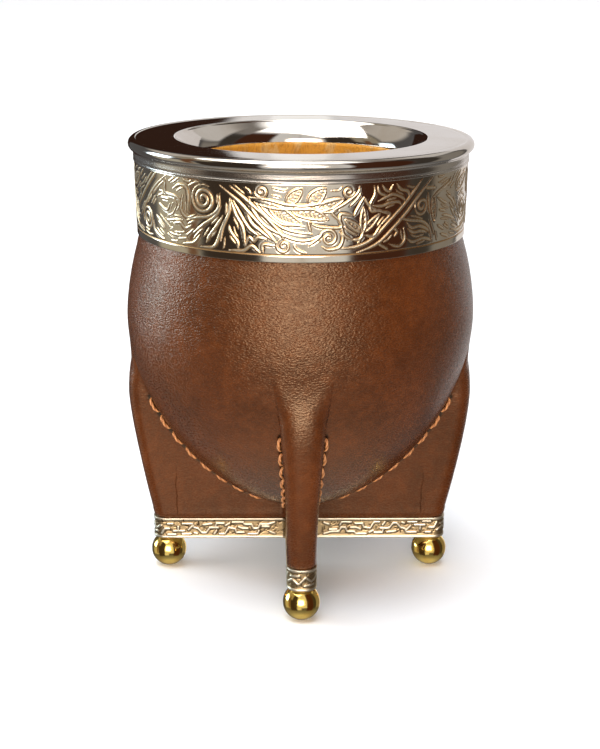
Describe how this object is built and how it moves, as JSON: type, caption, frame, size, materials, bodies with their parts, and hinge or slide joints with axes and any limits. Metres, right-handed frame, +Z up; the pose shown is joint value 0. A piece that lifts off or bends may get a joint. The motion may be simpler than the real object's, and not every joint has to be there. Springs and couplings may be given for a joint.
{
  "type": "mate gourd cup",
  "caption": "Footed mate gourd cup: a hollow gourd in a sewn brown leather cover with fins, an engraved metal collar and rim, and a metal foot trim on ball feet.",
  "frame": {"origin": "centre of the footprint, on the surface that the ball feet stand on", "axes": "+Z up along the cup's axis; the fins point along +X, +Y, -X and -Y"},
  "size_m": [0.0868, 0.0868, 0.1121],
  "materials": {
    "gourd": "raw dried gourd, matt",
    "leather": "semi-gloss brown leather with fine grain",
    "collar": "polished and engraved warm nickel silver",
    "rim": "polished nickel silver",
    "foot_trim": "chiselled pale brass",
    "ball": "polished brass",
    "thread": "waxed tan thread"
  },
  "bodies": {
    "root": {"gourd": "gourd", "leather_cover": "leather", "collar": "collar", "rim": "rim", "foot_trim": "foot_trim", "ball_right": "ball", "ball_back": "ball", "ball_left": "ball", "ball_front": "ball", "thread_right_a": "thread", "thread_right_b": "thread", "thread_back_a": "thread", "thread_back_b": "thread", "thread_left_a": "thread", "thread_left_b": "thread", "thread_front_a": "thread", "thread_front_b": "thread"}
  },
  "joints": []
}
